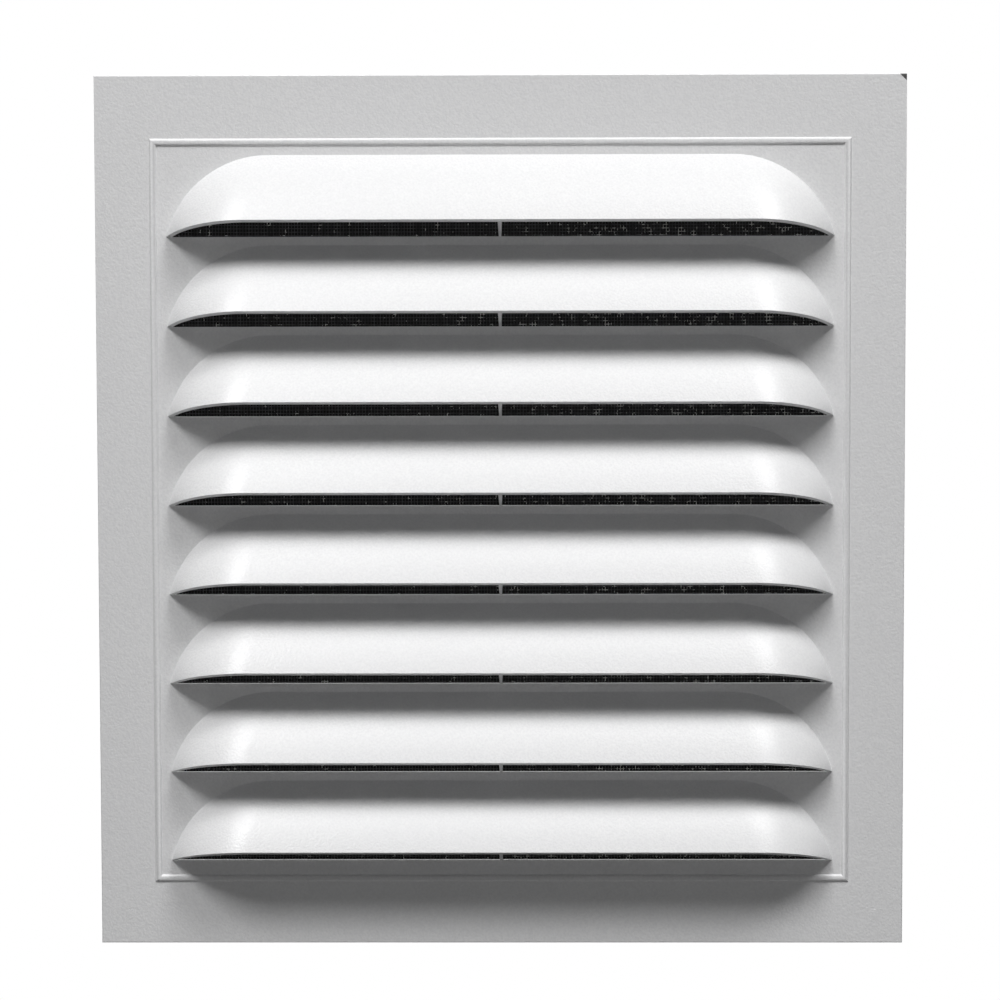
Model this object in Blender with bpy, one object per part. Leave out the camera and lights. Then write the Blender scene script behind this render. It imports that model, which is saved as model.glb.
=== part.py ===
"""Louvred gable vent: one moulded body and the insect screen staked to its back.

The vent stands upright, +Z up and +X to the right, with its louvres facing -Y.
The origin is the centre of the wall opening, in the plane where the flange rests.
"""

import math

import bmesh
import bpy
from mathutils import Vector

# Flange, the flat plate that covers the cut in the wall
FLANGE_SIDE_BORDER = 0.0270
FLANGE_END_BORDER = 0.0307
FLANGE_THICKNESS = 0.0025
FLANGE_EDGE_RADIUS = 0.0005

# Louvre bank
LOUVRE_COUNT = 8
LOUVRE_PITCH = 0.04157
HOOD_HALF_WIDTH = 0.1545
HOOD_RISE = 0.0375
HOOD_SHOULDER_RADIUS = 0.0487
HOOD_PROJECTION = 0.0220
HOOD_NOSE_RADIUS = 0.0430
LIP_LIFT = 0.0073
HOOD_WALL = 0.0025
SHOULDER_STATIONS = 14
SLOT_INSET = 0.0005

# Upright web that ties each lip to the panel below it
WEB_WIDTH_AT_LIP = 0.00225
WEB_WIDTH_AT_PANEL = 0.0015

# Raised bead that frames the louvre bank
BEAD_BASE = 0.0034
BEAD_CROWN = 0.0012
BEAD_RISE = 0.0010
BEAD_TO_HOOD_TIP = 0.0060
BEAD_TO_TOP_HOOD = 0.0061
BEAD_TO_BOTTOM_SLOT = 0.00841

# Round ejector marks that stand very slightly proud of the flange's front
MARK_RADIUS = 0.0023
MARK_RISE = 0.0002
MARK_EDGE_DISTANCE = 0.0135
MARK_SIDES = 20

# Collar behind the bead, which enters the opening in the wall
COLLAR_DEPTH = 0.0180
COLLAR_WALL = 0.0020
COLLAR_TIP_WALL = 0.0014

# Insect screen, a sheet laid against the back of the panel inside the collar
SCREEN_GAP = 0.0003
SCREEN_EDGE_GAP = 0.0006
SCREEN_THICKNESS = 0.0008
SCREEN_BORDER = 0.0125
SCREEN_STRAND = 0.0030
SCREEN_RIDGE = 0.0004
SCREEN_COLUMNS = 10
SCREEN_ROWS = 10

# Stakes moulded on the panel, pushed through the screen and headed over
STAKE_RADIUS = 0.0013
STAKE_HEAD_RADIUS = 0.0026
STAKE_HEAD_THICKNESS = 0.0010
STAKE_CLEARANCE = 0.0003
STAKE_SIDES = 16
SIDE_STAKE_INSET = 0.0045
SIDE_STAKE_RISE = 0.0310
SIDE_STAKE_COUNT = 4
END_STAKE_SPREAD = 0.1000
TOP_STAKE_RISE = 0.0022
BOTTOM_STAKE_DROP = 0.0038

# Edges that turn by more than this stay crisp
SHARP_ANGLE = math.radians(30)

# Depth by which joined shapes run into each other, so that no two faces coincide
BITE = 0.0005

FRONT = -FLANGE_THICKNESS
BANK_HEIGHT = HOOD_RISE + LOUVRE_PITCH * (LOUVRE_COUNT - 1)
BEAD_HALF_WIDTH = HOOD_HALF_WIDTH + BEAD_TO_HOOD_TIP
BEAD_HALF_HEIGHT = (BEAD_TO_TOP_HOOD + BANK_HEIGHT + BEAD_TO_BOTTOM_SLOT) / 2
FLANGE_WIDTH = 2 * (BEAD_HALF_WIDTH + FLANGE_SIDE_BORDER)
FLANGE_HEIGHT = 2 * (BEAD_HALF_HEIGHT + FLANGE_END_BORDER)
COLLAR_HALF_WIDTH = BEAD_HALF_WIDTH + COLLAR_WALL / 2
COLLAR_HALF_HEIGHT = BEAD_HALF_HEIGHT + COLLAR_WALL / 2
COLLAR_INSIDE_HALF_WIDTH = COLLAR_HALF_WIDTH - COLLAR_WALL
COLLAR_INSIDE_HALF_HEIGHT = COLLAR_HALF_HEIGHT - COLLAR_WALL

TOP_SLOT_HEIGHT = BEAD_HALF_HEIGHT - BEAD_TO_TOP_HOOD - HOOD_RISE
SLOT_HEIGHTS = [TOP_SLOT_HEIGHT - LOUVRE_PITCH * row for row in range(LOUVRE_COUNT)]


def clear_scene():
    """Removes every object that the file opened with."""
    for item in list(bpy.data.objects):
        bpy.data.objects.remove(item, do_unlink=True)


def make_material(name, colour, roughness):
    """Returns a plain moulded or coated plastic."""
    material = bpy.data.materials.new(name)
    material.use_nodes = True
    shader = material.node_tree.nodes["Principled BSDF"]
    shader.inputs["Base Color"].default_value = (*colour, 1.0)
    shader.inputs["Roughness"].default_value = roughness
    shader.inputs["Metallic"].default_value = 0.0
    return material


def object_from_bmesh(name, shape):
    """Turns a bmesh into an object with outward faces."""
    bmesh.ops.recalc_face_normals(shape, faces=shape.faces)
    mesh = bpy.data.meshes.new(name)
    shape.to_mesh(mesh)
    shape.free()
    mesh.shade_smooth()
    mesh.set_sharp_from_angle(angle=SHARP_ANGLE)
    item = bpy.data.objects.new(name, mesh)
    bpy.context.collection.objects.link(item)
    return item


def as_tool(item):
    """Marks an object as a helper that only takes part in a Boolean."""
    item.hide_render = True
    item.display_type = "WIRE"
    return item


def combine(target, tool, operation):
    """Adds a Boolean modifier and keeps it on the target."""
    modifier = target.modifiers.new(tool.name, "BOOLEAN")
    modifier.operation = operation
    modifier.solver = "EXACT"
    modifier.object = as_tool(tool)


def add_block(shape, low, high):
    """Adds a box between two corners."""
    made = bmesh.ops.create_cube(shape, size=1.0)["verts"]
    centre = (Vector(low) + Vector(high)) / 2
    size = Vector(high) - Vector(low)
    bmesh.ops.scale(shape, vec=size, verts=made)
    bmesh.ops.translate(shape, vec=centre, verts=made)


def loft(shape, sections, closed_ring=False):
    """Joins each section to the next with faces, and caps the ends of an open run."""
    loops = [[shape.verts.new(point) for point in points] for points in sections]
    pairs = list(zip(loops, loops[1:]))
    if closed_ring:
        pairs.append((loops[-1], loops[0]))
    for near, far in pairs:
        for index in range(len(near)):
            after = (index + 1) % len(near)
            shape.faces.new((near[index], near[after], far[after], far[index]))
    if not closed_ring:
        shape.faces.new(loops[0])
        shape.faces.new(loops[-1])


def add_prism(shape, outline, start, end):
    """Extrudes a closed outline of (x, z) pairs from one y to another."""
    loft(shape, [[(x, start, z) for x, z in outline], [(x, end, z) for x, z in outline]])


def rectangle(half_width, half_height):
    """Returns the four corners of a centred rectangle in x and z."""
    return [
        (-half_width, -half_height),
        (half_width, -half_height),
        (half_width, half_height),
        (-half_width, half_height),
    ]


def shoulder_centre():
    """Returns the distance from the middle to the centre of the shoulder arc."""
    drop = HOOD_RISE - HOOD_SHOULDER_RADIUS
    return HOOD_HALF_WIDTH - math.sqrt(HOOD_SHOULDER_RADIUS ** 2 - drop ** 2)


def nose_centre():
    """Returns the distance from the middle to the centre of the lip's end arc."""
    behind = HOOD_PROJECTION - HOOD_NOSE_RADIUS
    return HOOD_HALF_WIDTH - math.sqrt(HOOD_NOSE_RADIUS ** 2 - behind ** 2)


def crease_point(turn):
    """Returns the hood's outline on the panel at an angle round the shoulder."""
    return Vector((
        shoulder_centre() + HOOD_SHOULDER_RADIUS * math.sin(turn),
        FRONT,
        HOOD_RISE - HOOD_SHOULDER_RADIUS + HOOD_SHOULDER_RADIUS * math.cos(turn),
    ))


def lip_point(turn):
    """Returns the hood's outer lip at an angle round the nose, seen from above."""
    out = HOOD_PROJECTION - HOOD_NOSE_RADIUS + HOOD_NOSE_RADIUS * math.cos(turn)
    return Vector((
        nose_centre() + HOOD_NOSE_RADIUS * math.sin(turn),
        FRONT - out,
        out * LIP_LIFT / HOOD_PROJECTION,
    ))


def hood_section(share):
    """Returns the hood's wall as four points, at a share of the way round its end.

    The wall follows the straight line from the outline on the panel to the lip.
    It runs on into the panel, and its thickness is measured square to its face.
    """
    crease_end = math.acos(1 - HOOD_RISE / HOOD_SHOULDER_RADIUS)
    lip_end = math.acos(1 - HOOD_PROJECTION / HOOD_NOSE_RADIUS)
    crease = crease_point(share * crease_end)
    lip = lip_point(share * lip_end)
    crease_run = Vector((math.cos(share * crease_end), 0, -math.sin(share * crease_end)))
    lip_slope = LIP_LIFT / HOOD_PROJECTION
    lip_run = Vector((
        math.cos(share * lip_end),
        math.sin(share * lip_end),
        -math.sin(share * lip_end) * lip_slope,
    ))
    steady = min(share, 0.9)
    down = (lip_point(steady * lip_end) - crease_point(steady * crease_end)).normalized()
    root_depth = 1.5 * BITE + HOOD_WALL / 2
    root = crease + down * (root_depth / down.y)
    inward_root = crease_run.cross(down).normalized() * HOOD_WALL
    inward_lip = lip_run.cross(down).normalized() * HOOD_WALL
    if inward_root.z > 0:
        inward_root.negate()
        inward_lip.negate()
    return [root, lip, lip + inward_lip, root + inward_root]


def mirrored(points):
    """Returns the points on the other side of the middle."""
    return [Vector((-point.x, point.y, point.z)) for point in points]


def lifted(points, height):
    """Returns the points moved up to a slot's height."""
    return [Vector((point.x, point.y, point.z + height)) for point in points]


def make_hoods():
    """Lofts one curved hood over each slot."""
    shape = bmesh.new()
    buried_end = 1 + BITE / HOOD_PROJECTION
    shares = [step / SHOULDER_STATIONS for step in range(SHOULDER_STATIONS + 1)]
    right = [hood_section(share) for share in shares + [buried_end]]
    left = [mirrored(section) for section in reversed(right)]
    for height in SLOT_HEIGHTS:
        loft(shape, [lifted(section, height) for section in left + right])
    return object_from_bmesh("hoods", shape)


def make_slots():
    """Cuts one opening through the panel behind each hood, inside its wall."""
    shape = bmesh.new()
    radius = HOOD_SHOULDER_RADIUS - SLOT_INSET
    end = math.acos((HOOD_SHOULDER_RADIUS - HOOD_RISE) / radius)
    arc = []
    for step in range(SHOULDER_STATIONS + 1):
        turn = end * step / SHOULDER_STATIONS
        x = shoulder_centre() + radius * math.sin(turn)
        z = HOOD_RISE - HOOD_SHOULDER_RADIUS + radius * math.cos(turn)
        arc.append((x, z))
    outline = [(-x, z) for x, z in reversed(arc)] + arc
    for height in SLOT_HEIGHTS:
        placed = [(x, z + height) for x, z in outline]
        add_prism(shape, placed, FRONT - BITE, 2 * BITE)
    return object_from_bmesh("slots", shape)


def make_webs():
    """Stands a drafted web in the middle of each hood, from its lip to the panel."""
    shape = bmesh.new()
    fall = (HOOD_RISE - LIP_LIFT) / HOOD_PROJECTION
    middle_of_wall = HOOD_WALL / 2 * math.hypot(1, fall)
    toe = HOOD_PROJECTION - HOOD_WALL
    profile = [
        (toe, HOOD_RISE - fall * toe - middle_of_wall),
        (0, HOOD_RISE - middle_of_wall),
        (-FLANGE_THICKNESS - BITE, HOOD_RISE + BITE),
        (-FLANGE_THICKNESS - BITE, -BITE),
        (-BITE, -BITE),
    ]
    widening = (WEB_WIDTH_AT_LIP - WEB_WIDTH_AT_PANEL) / HOOD_PROJECTION
    for height in SLOT_HEIGHTS:
        sides = []
        for side in (-1, 1):
            flank = []
            for out, rise in profile:
                half_width = (WEB_WIDTH_AT_PANEL + widening * out) / 2
                flank.append((side * half_width, FRONT - out, height + rise))
            sides.append(flank)
        loft(shape, sides)
    return object_from_bmesh("webs", shape)


def make_bead():
    """Raises the mitred bead that frames the louvre bank."""
    shape = bmesh.new()
    flank = (BEAD_BASE - BEAD_CROWN) / 2 * BITE / BEAD_RISE
    levels = [
        (BEAD_BASE / 2 + flank, FRONT + BITE),
        (BEAD_CROWN / 2, FRONT - BEAD_RISE),
        (-BEAD_CROWN / 2, FRONT - BEAD_RISE),
        (-BEAD_BASE / 2 - flank, FRONT + BITE),
    ]
    rings = []
    for spread, y in levels:
        outline = rectangle(BEAD_HALF_WIDTH + spread, BEAD_HALF_HEIGHT + spread)
        rings.append([(x, y, z) for x, z in outline])
    loft(shape, rings, closed_ring=True)
    return object_from_bmesh("bead", shape)


def make_collar():
    """Stands the collar on the flange's back, thinner towards its end."""
    shape = bmesh.new()
    thinning = COLLAR_WALL - COLLAR_TIP_WALL
    levels = [
        (COLLAR_WALL, -BITE),
        (COLLAR_WALL - thinning / 2, COLLAR_DEPTH),
        (thinning / 2, COLLAR_DEPTH),
        (0, -BITE),
    ]
    rings = []
    for spread, y in levels:
        outline = rectangle(
            COLLAR_INSIDE_HALF_WIDTH + spread,
            COLLAR_INSIDE_HALF_HEIGHT + spread,
        )
        rings.append([(x, y, z) for x, z in outline])
    loft(shape, rings, closed_ring=True)
    return object_from_bmesh("collar", shape)


def stake_places():
    """Lists where the stakes stand, as (x, z)."""
    places = []
    for height in SLOT_HEIGHTS[::LOUVRE_COUNT // SIDE_STAKE_COUNT]:
        for side in (-1, 1):
            places.append((side * (HOOD_HALF_WIDTH - SIDE_STAKE_INSET), height + SIDE_STAKE_RISE))
    top = SLOT_HEIGHTS[0] + HOOD_RISE + TOP_STAKE_RISE
    bottom = SLOT_HEIGHTS[-1] - BOTTOM_STAKE_DROP
    for place in (-1, 0, 1):
        places.append((place * END_STAKE_SPREAD, top))
        places.append((place * END_STAKE_SPREAD, bottom))
    return places


def add_turned(shape, profile, x, z, sides):
    """Turns a profile of (radius, y), from axis to axis, about an axis along y."""
    start = [shape.verts.new((x + radius, y, z)) for radius, y in profile]
    edges = [shape.edges.new(pair) for pair in zip(start, start[1:])]
    bmesh.ops.spin(
        shape,
        geom=start + edges,
        cent=(x, 0, z),
        axis=(0, 1, 0),
        angle=2 * math.pi,
        steps=sides,
        use_merge=True,
    )


def make_stakes():
    """Turns the headed stakes that hold the screen."""
    shape = bmesh.new()
    head = SCREEN_GAP + SCREEN_THICKNESS + SCREEN_GAP
    profile = [
        (0, -BITE),
        (STAKE_RADIUS, -BITE),
        (STAKE_RADIUS, head),
        (STAKE_HEAD_RADIUS, head),
        (STAKE_HEAD_RADIUS, head + STAKE_HEAD_THICKNESS / 2),
        (STAKE_RADIUS, head + STAKE_HEAD_THICKNESS),
        (0, head + STAKE_HEAD_THICKNESS),
    ]
    for x, z in stake_places():
        add_turned(shape, profile, x, z, STAKE_SIDES)
    bmesh.ops.remove_doubles(shape, verts=shape.verts, dist=BITE / 50)
    return object_from_bmesh("stakes", shape)


def make_marks():
    """Raises the round marks at the middle and foot of each side."""
    shape = bmesh.new()
    x = FLANGE_WIDTH / 2 - MARK_EDGE_DISTANCE
    profile = [
        (0, FRONT + BITE),
        (MARK_RADIUS, FRONT + BITE),
        (MARK_RADIUS, FRONT),
        (MARK_RADIUS - MARK_RISE, FRONT - MARK_RISE),
        (0, FRONT - MARK_RISE),
    ]
    for side in (-1, 1):
        for z in (0, MARK_EDGE_DISTANCE - FLANGE_HEIGHT / 2):
            add_turned(shape, profile, side * x, z, MARK_SIDES)
    bmesh.ops.remove_doubles(shape, verts=shape.verts, dist=BITE / 50)
    return object_from_bmesh("marks", shape)


def make_trim():
    """Makes the block that cuts the hoods and webs flush with the flange's back."""
    shape = bmesh.new()
    reach = HOOD_WALL + FLANGE_THICKNESS
    add_block(
        shape,
        (-FLANGE_WIDTH, 0, -FLANGE_HEIGHT),
        (FLANGE_WIDTH, reach, FLANGE_HEIGHT),
    )
    return object_from_bmesh("trim", shape)


def make_flange():
    """Makes the flange plate with its front edges rounded, a little too thick."""
    shape = bmesh.new()
    add_block(
        shape,
        (-FLANGE_WIDTH / 2, FRONT, -FLANGE_HEIGHT / 2),
        (FLANGE_WIDTH / 2, BITE, FLANGE_HEIGHT / 2),
    )
    rim = [edge for edge in shape.edges if all(end.co.y < 0 for end in edge.verts)]
    bmesh.ops.bevel(
        shape,
        geom=rim,
        offset=FLANGE_EDGE_RADIUS,
        segments=3,
        profile=0.5,
        affect="EDGES",
    )
    return object_from_bmesh("vent_body", shape)


def make_body(material):
    """Joins the flange, hoods, webs, bead, collar and stakes into one moulding."""
    body = make_flange()
    combine(body, make_slots(), "DIFFERENCE")
    combine(body, make_hoods(), "UNION")
    combine(body, make_webs(), "UNION")
    combine(body, make_trim(), "DIFFERENCE")
    combine(body, make_bead(), "UNION")
    combine(body, make_collar(), "UNION")
    combine(body, make_stakes(), "UNION")
    combine(body, make_marks(), "UNION")
    body.data.materials.append(material)
    return body


def lattice_lines(half_length, gaps):
    """Returns the edges of the strands and gaps across the screen."""
    inside = 2 * (half_length - SCREEN_BORDER)
    gap = (inside - SCREEN_STRAND * (gaps - 1)) / gaps
    lines = [-half_length]
    place = SCREEN_BORDER - half_length
    for _ in range(gaps):
        lines += [place, place + gap]
        place += gap + SCREEN_STRAND
    return lines + [half_length]


def make_stake_holes():
    """Makes the cutters that let the stakes through the screen."""
    shape = bmesh.new()
    radius = STAKE_RADIUS + STAKE_CLEARANCE
    front = SCREEN_GAP - BITE
    back = SCREEN_GAP + SCREEN_THICKNESS + SCREEN_RIDGE + BITE
    profile = [(0, front), (radius, front), (radius, back), (0, back)]
    for x, z in stake_places():
        add_turned(shape, profile, x, z, STAKE_SIDES)
    bmesh.ops.remove_doubles(shape, verts=shape.verts, dist=BITE / 50)
    return object_from_bmesh("stake_holes", shape)


def extrude_back(shape, faces, depth):
    """Extrudes faces backwards, leaves the first ones behind and returns the new ones."""
    made = bmesh.ops.extrude_face_region(shape, geom=faces, use_keep_orig=True)["geom"]
    moved = [item for item in made if isinstance(item, bmesh.types.BMVert)]
    bmesh.ops.translate(shape, vec=(0, depth, 0), verts=moved)
    return [item for item in made if isinstance(item, bmesh.types.BMFace)]


def make_screen(material):
    """Makes the screen: crossing strands with open gaps, the upright ones proud."""
    half_width = COLLAR_INSIDE_HALF_WIDTH - SCREEN_EDGE_GAP
    half_height = COLLAR_INSIDE_HALF_HEIGHT - SCREEN_EDGE_GAP
    xs = lattice_lines(half_width, SCREEN_COLUMNS)
    zs = lattice_lines(half_height, SCREEN_ROWS)
    shape = bmesh.new()
    grid = [[shape.verts.new((x, SCREEN_GAP, z)) for z in zs] for x in xs]
    for column in range(len(xs) - 1):
        for row in range(len(zs) - 1):
            if column % 2 == 1 and row % 2 == 1:
                continue
            near, far = grid[column], grid[column + 1]
            shape.faces.new((near[row], far[row], far[row + 1], near[row + 1]))
    back = extrude_back(shape, list(shape.faces), SCREEN_THICKNESS)
    inner_width = half_width - SCREEN_BORDER
    inner_height = half_height - SCREEN_BORDER
    upright = []
    for face in back:
        middle = face.calc_center_median()
        sides = [corner.co.x for corner in face.verts]
        on_strand = max(sides) - min(sides) < SCREEN_STRAND + BITE
        if on_strand and abs(middle.x) < inner_width and abs(middle.z) < inner_height:
            upright.append(face)
    extrude_back(shape, upright, SCREEN_RIDGE)
    bmesh.ops.delete(shape, geom=upright, context="FACES")
    screen = object_from_bmesh("insect_screen", shape)
    combine(screen, make_stake_holes(), "DIFFERENCE")
    screen.data.materials.append(material)
    return screen


def main():
    """Builds the vent."""
    clear_scene()
    resin = make_material("moulded_polypropylene", (0.83, 0.83, 0.82), 0.5)
    fibre = make_material("coated_glass_fibre", (0.03, 0.03, 0.03), 0.6)
    make_body(resin)
    make_screen(fibre)


main()
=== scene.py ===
"""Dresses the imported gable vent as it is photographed.

The body is one polypropylene moulding: a flange, a bank of hooded louvres with
a web in the middle of each, a bead round the bank, a collar for the wall
opening and the headed stakes that hold the insect screen. The screen is a
woven mesh of coated glass-fibre yarns. Both are modelled in fine over the
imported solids, which stay in place for collision. Metres, +Z up, louvres
facing -Y.
"""

import logging
import math
from collections.abc import Callable, Iterable, Iterator
from contextlib import contextmanager
from dataclasses import dataclass, field
from enum import Enum

import bmesh
import bpy
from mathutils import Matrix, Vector


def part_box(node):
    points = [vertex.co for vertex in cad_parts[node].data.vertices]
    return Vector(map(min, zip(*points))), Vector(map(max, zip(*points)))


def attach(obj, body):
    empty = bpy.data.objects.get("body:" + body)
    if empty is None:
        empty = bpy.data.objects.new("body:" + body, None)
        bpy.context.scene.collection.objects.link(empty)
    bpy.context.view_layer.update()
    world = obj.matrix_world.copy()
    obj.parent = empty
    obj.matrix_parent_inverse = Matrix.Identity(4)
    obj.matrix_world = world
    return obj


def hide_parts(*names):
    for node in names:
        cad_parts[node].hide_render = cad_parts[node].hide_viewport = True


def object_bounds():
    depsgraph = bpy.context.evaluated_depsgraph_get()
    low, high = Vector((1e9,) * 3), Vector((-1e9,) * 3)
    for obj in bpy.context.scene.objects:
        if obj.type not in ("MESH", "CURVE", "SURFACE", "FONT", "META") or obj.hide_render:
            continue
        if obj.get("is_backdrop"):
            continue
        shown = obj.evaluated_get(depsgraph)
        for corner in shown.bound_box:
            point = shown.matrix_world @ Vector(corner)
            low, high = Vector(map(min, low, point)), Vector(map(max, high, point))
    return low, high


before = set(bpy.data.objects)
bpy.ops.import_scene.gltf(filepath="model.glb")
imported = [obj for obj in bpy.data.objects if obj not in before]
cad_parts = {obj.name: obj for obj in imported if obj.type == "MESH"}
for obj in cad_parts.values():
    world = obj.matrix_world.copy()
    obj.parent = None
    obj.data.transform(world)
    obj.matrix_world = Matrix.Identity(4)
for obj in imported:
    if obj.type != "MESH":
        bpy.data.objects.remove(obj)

Point = tuple[float, float, float]

log = logging.getLogger("gable_vent")

# Points closer together than this are one point.
WELD = 0.00001
# The stakes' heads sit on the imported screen's back, this far behind its front.
SCREEN_THICKNESS = 0.0008


class Pick(Enum):
    """What a selection in edit mode is made of."""

    POINTS = "VERT"
    EDGES = "EDGE"
    FACES = "FACE"


class Join(Enum):
    """How a tool changes the piece that it meets."""

    ADD = "UNION"
    CUT = "DIFFERENCE"


def only(*things: bpy.types.Object) -> None:
    """Selects these objects alone and makes the first one active.

    Args:
        things: The objects that the next operator works on.
    """
    bpy.ops.object.select_all(action="DESELECT")
    for thing in things:
        thing.select_set(True)
    bpy.context.view_layer.objects.active = things[0]


@contextmanager
def editing(thing: bpy.types.Object) -> Iterator[None]:
    """Keeps an object in edit mode, with nothing selected, while it is shaped.

    Args:
        thing: The mesh object that is shaped.
    """
    only(thing)
    bpy.ops.object.mode_set(mode="EDIT")
    bpy.ops.mesh.select_all(action="DESELECT")
    try:
        yield
    finally:
        bpy.ops.object.mode_set(mode="OBJECT")


def select(
    thing: bpy.types.Object,
    kind: Pick,
    wanted: Callable[[Vector], bool],
) -> None:
    """Selects the points, edges or faces whose middle passes a test.

    Args:
        thing: The object in edit mode.
        kind: What is selected.
        wanted: The test on the middle of each point, edge or face.
    """
    bpy.ops.mesh.select_mode(type=kind.value)
    bpy.ops.mesh.select_all(action="DESELECT")
    shape = bmesh.from_edit_mesh(thing.data)
    if kind is Pick.POINTS:
        for point in shape.verts:
            point.select_set(wanted(point.co))
    elif kind is Pick.EDGES:
        for edge in shape.edges:
            start, end = edge.verts
            edge.select_set(wanted((start.co + end.co) / 2))
    else:
        for face in shape.faces:
            face.select_set(wanted(face.calc_center_median()))
    shape.select_flush_mode()
    bmesh.update_edit_mesh(thing.data)


def settled(name: str) -> bpy.types.Object:
    """Names the new primitive and puts its place and size into its mesh.

    Args:
        name: The object's name.

    Returns:
        The active object, at the origin, unturned and unscaled.
    """
    thing = bpy.context.object
    thing.name = name
    thing.data.name = name
    only(thing)
    bpy.ops.object.transform_apply(location=True, rotation=True, scale=True)
    return thing


def block(name: str, low: Point, high: Point) -> bpy.types.Object:
    """Adds a box between two corners.

    Args:
        name: The object's name.
        low: Its lowest corner.
        high: Its highest corner.

    Returns:
        The box.
    """
    bpy.ops.object.select_all(action="DESELECT")
    middle = [(start + end) / 2 for start, end in zip(low, high)]
    sizes = [end - start for start, end in zip(low, high)]
    bpy.ops.mesh.primitive_cube_add(size=1, location=middle, scale=sizes)
    return settled(name)


def panel(name: str, half_width: float, half_height: float, y: float) -> bpy.types.Object:
    """Adds an upright rectangle that faces along y.

    Args:
        name: The object's name.
        half_width: Half its size along x.
        half_height: Half its size along z.
        y: Where it stands.

    Returns:
        The rectangle.
    """
    bpy.ops.object.select_all(action="DESELECT")
    bpy.ops.mesh.primitive_plane_add(
        size=2,
        location=(0, y, 0),
        rotation=(math.pi / 2, 0, 0),
    )
    bpy.context.object.scale = (half_width, half_height, 1)
    return settled(name)


def round_edges(radius: float, segments: int) -> None:
    """Rounds the selected edges of the object in edit mode."""
    bpy.ops.mesh.bevel(offset=radius, segments=segments, profile=0.5)


def finish_with(thing: bpy.types.Object, kind: str, **settings: object) -> None:
    """Adds a modifier with its settings and applies it.

    Args:
        thing: The object that gets the modifier.
        kind: The modifier's type.
        settings: The modifier's own settings.
    """
    only(thing)
    modifier = thing.modifiers.new(kind.title(), kind)
    for name, value in settings.items():
        setattr(modifier, name, value)
    bpy.ops.object.modifier_apply(modifier=modifier.name)


def combine(piece: bpy.types.Object, tool: bpy.types.Object, how: Join) -> None:
    """Adds a tool's shape to a piece, or cuts it away, and uses up the tool.

    Args:
        piece: The piece that changes.
        tool: The closed mesh that is added or cut away.
        how: Whether the tool adds or cuts.
    """
    finish_with(piece, "BOOLEAN", object=tool, operation=how.value, solver="EXACT")
    mesh = tool.data
    bpy.data.objects.remove(tool)
    bpy.data.meshes.remove(mesh)


def repeated(thing: bpy.types.Object, moves: Iterable[Point]) -> bpy.types.Object:
    """Puts a copy of a piece at each place, each with its own mesh, as one object.

    Args:
        thing: The piece to copy, which is used up.
        moves: How far each copy moves.

    Returns:
        The joined copies.
    """
    copies = []
    for move in moves:
        twin = thing.copy()
        twin.data = thing.data.copy()
        twin.location = move
        bpy.context.collection.objects.link(twin)
        copies.append(twin)
    name = thing.name
    bpy.data.objects.remove(thing)
    only(*copies)
    bpy.ops.object.join()
    return settled(name)


def outward(thing: bpy.types.Object) -> None:
    """Merges doubled points and turns every face outwards.

    Args:
        thing: The closed mesh object.
    """
    with editing(thing):
        bpy.ops.mesh.select_all(action="SELECT")
        bpy.ops.mesh.remove_doubles(threshold=WELD)
        bpy.ops.mesh.normals_make_consistent(inside=False)


def without_slivers(thing: bpy.types.Object) -> None:
    """Merges points and edges too close together to be seen.

    Args:
        thing: The mesh object.
    """
    with editing(thing):
        bpy.ops.mesh.select_all(action="SELECT")
        bpy.ops.mesh.remove_doubles(threshold=WELD)
        bpy.ops.mesh.select_all(action="SELECT")
        bpy.ops.mesh.dissolve_degenerate(threshold=WELD)


class Wire:
    """Draws lines of edges, one point at a time, in an object in edit mode."""

    @staticmethod
    def blank(name: str) -> bpy.types.Object:
        """Adds a mesh object with nothing in it.

        Args:
            name: The object's name.

        Returns:
            The empty object.
        """
        thing = panel(name, 1, 1, 0)
        with editing(thing):
            bpy.ops.mesh.select_all(action="SELECT")
            bpy.ops.mesh.delete(type="VERT")
        return thing

    @staticmethod
    def start(place: Point) -> None:
        """Begins a line with a single point.

        Args:
            place: Where the point is.
        """
        bpy.ops.mesh.select_mode(type=Pick.POINTS.value)
        bpy.ops.mesh.select_all(action="DESELECT")
        bpy.ops.mesh.primitive_plane_add(size=0.001, location=place)
        bpy.ops.mesh.merge(type="CENTER")

    @staticmethod
    def line(move: Point) -> None:
        """Draws a straight line on from the last point."""
        bpy.ops.mesh.extrude_region_move(TRANSFORM_OT_translate={"value": move})

    @staticmethod
    def arc(centre: Point, axis: Point, angle: float, steps: int) -> None:
        """Draws an arc on from the last point, turning by the right-hand rule."""
        # The spin operator turns against the right-hand rule.
        bpy.ops.mesh.spin(steps=steps, angle=-angle, center=centre, axis=axis)


def linear(code: str) -> tuple[float, float, float, float]:
    """Turns an sRGB hex colour into linear RGBA.

    Args:
        code: Six hex digits.

    Returns:
        The linear colour with full alpha.
    """
    channels = [int(code[start:start + 2], 16) / 255 for start in (0, 2, 4)]
    plain = [
        value / 12.92 if value <= 0.04045 else ((value + 0.055) / 1.055) ** 2.4
        for value in channels
    ]
    return (*plain, 1.0)


def add_node(
    tree: bpy.types.NodeTree,
    kind: str,
    settings: dict[str, object] | None = None,
    inputs: dict[str | int, object] | None = None,
) -> bpy.types.Node:
    """Adds a node with its settings, and sets or links its inputs.

    Args:
        tree: The node tree.
        kind: The node's type.
        settings: The node's own properties.
        inputs: A value or an output socket for each named or numbered input.

    Returns:
        The node.
    """
    node = tree.nodes.new(kind)
    for name, value in (settings or {}).items():
        setattr(node, name, value)
    for name, value in (inputs or {}).items():
        if isinstance(value, bpy.types.NodeSocket):
            tree.links.new(value, node.inputs[name])
        else:
            node.inputs[name].default_value = value
    return node


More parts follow.
